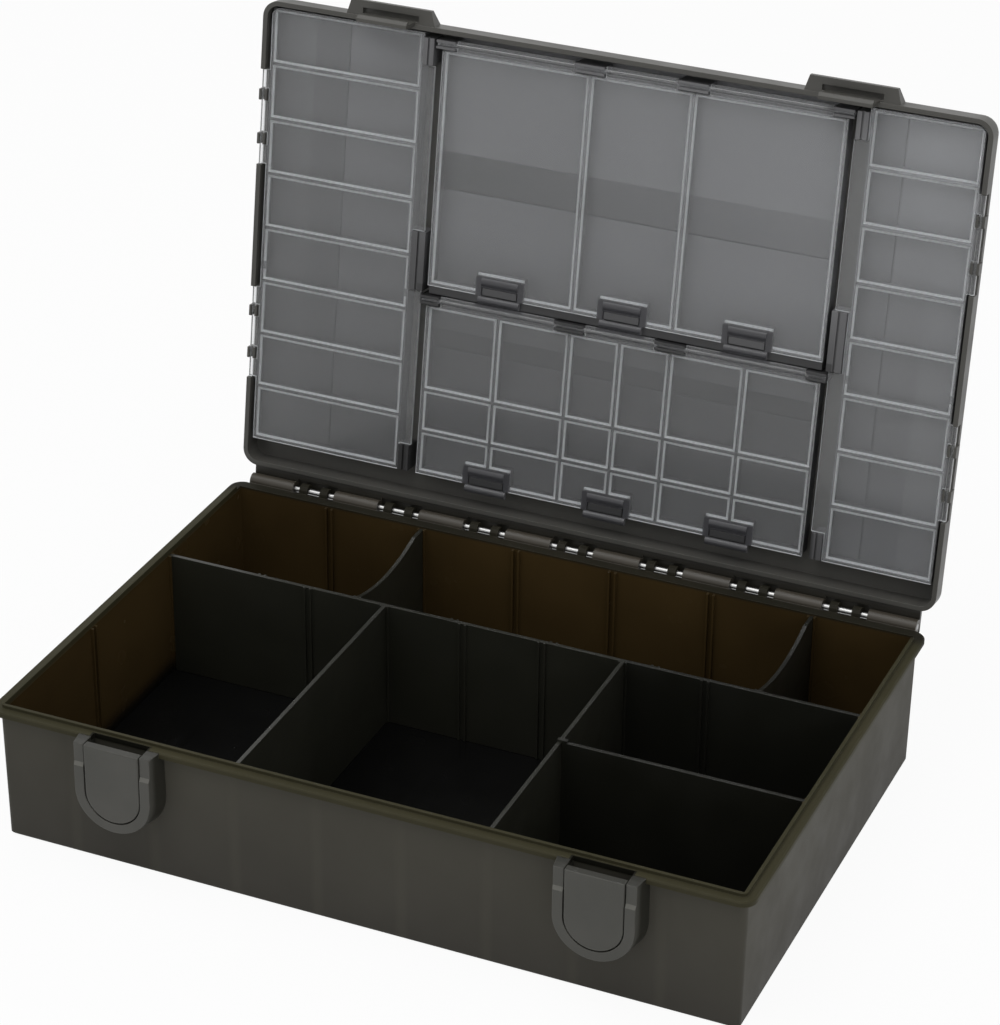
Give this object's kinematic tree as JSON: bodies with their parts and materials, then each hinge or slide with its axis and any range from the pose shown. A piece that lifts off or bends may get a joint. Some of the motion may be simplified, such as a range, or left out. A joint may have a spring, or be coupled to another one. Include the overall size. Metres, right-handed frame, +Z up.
{
  "type": "tackle box",
  "caption": "Flat plastic tackle box with divided tray, leaning hinged lid of small cells under clear snap doors, and rocker latches on the front.",
  "frame": {"origin": "centre of the tray's flat underside", "axes": "+X to the right along the front, +Y towards the hinge, +Z up out of the tray"},
  "size_m": [0.3606, 0.2995, 0.3117],
  "materials": {
    "tray_plastic": "satin moulded",
    "latch_plastic": "satin moulded",
    "steel": "bright drawn wire",
    "lid_plastic": "satin moulded",
    "clear_plastic": "clear"
  },
  "bodies": {
    "base": {"base_tray": "tray_plastic", "long_divider": "tray_plastic", "cross_divider_left": "tray_plastic", "cross_divider_right": "tray_plastic", "short_divider": "tray_plastic", "scoop_divider_left": "tray_plastic", "scoop_divider_right": "tray_plastic", "left_latch_housing": "latch_plastic", "right_latch_housing": "latch_plastic", "hinge_pin": "steel", "left_latch_pin": "steel", "right_latch_pin": "steel", "left_latch_spring": "steel", "right_latch_spring": "steel"},
    "lid": {"lid_panel": "lid_plastic", "left_cell_walls": "lid_plastic", "right_cell_walls": "lid_plastic", "upper_cell_walls": "lid_plastic", "lower_cell_walls": "lid_plastic"},
    "left_door": {"left_door": "clear_plastic"},
    "right_door": {"right_door": "clear_plastic"},
    "upper_door": {"upper_door": "clear_plastic"},
    "lower_door": {"lower_door": "clear_plastic"},
    "left_latch": {"left_latch_button": "latch_plastic"},
    "right_latch": {"right_latch_button": "latch_plastic"}
  },
  "joints": [
    {"name": "lid_hinge", "type": "hinge", "parent": "base", "child": "lid", "pos_m": [0, 0.12364, 0.066], "axis": [-1, 0, 0], "range_deg": [-98.6, 0]},
    {"name": "left_door_hinge", "type": "hinge", "parent": "lid", "child": "left_door", "pos_m": [-0.17819, 0.13839, 0.14043], "axis": [0, -0.1495, -0.9888], "range_deg": [0, 110]},
    {"name": "right_door_hinge", "type": "hinge", "parent": "lid", "child": "right_door", "pos_m": [0.17819, 0.13839, 0.14043], "axis": [0, 0.1495, 0.9888], "range_deg": [0, 110]},
    {"name": "upper_door_hinge", "type": "hinge", "parent": "lid", "child": "upper_door", "pos_m": [0, 0.16204, 0.29683], "axis": [-1, 0, 0], "range_deg": [0, 110]},
    {"name": "lower_door_hinge", "type": "hinge", "parent": "lid", "child": "lower_door", "pos_m": [0, 0.14341, 0.17365], "axis": [-1, 0, 0], "range_deg": [0, 110]},
    {"name": "left_latch_pivot", "type": "hinge", "parent": "base", "child": "left_latch", "pos_m": [-0.1135, -0.12264, 0.055], "axis": [1, 0, 0], "range_deg": [0, 10], "stiffness_Nm_per_rad": 0.4, "springref_deg": -5.73, "deforming": ["left_latch_spring"]},
    {"name": "right_latch_pivot", "type": "hinge", "parent": "base", "child": "right_latch", "pos_m": [0.1135, -0.12264, 0.055], "axis": [1, 0, 0], "range_deg": [0, 10], "stiffness_Nm_per_rad": 0.4, "springref_deg": -5.73, "deforming": ["right_latch_spring"]}
  ]
}
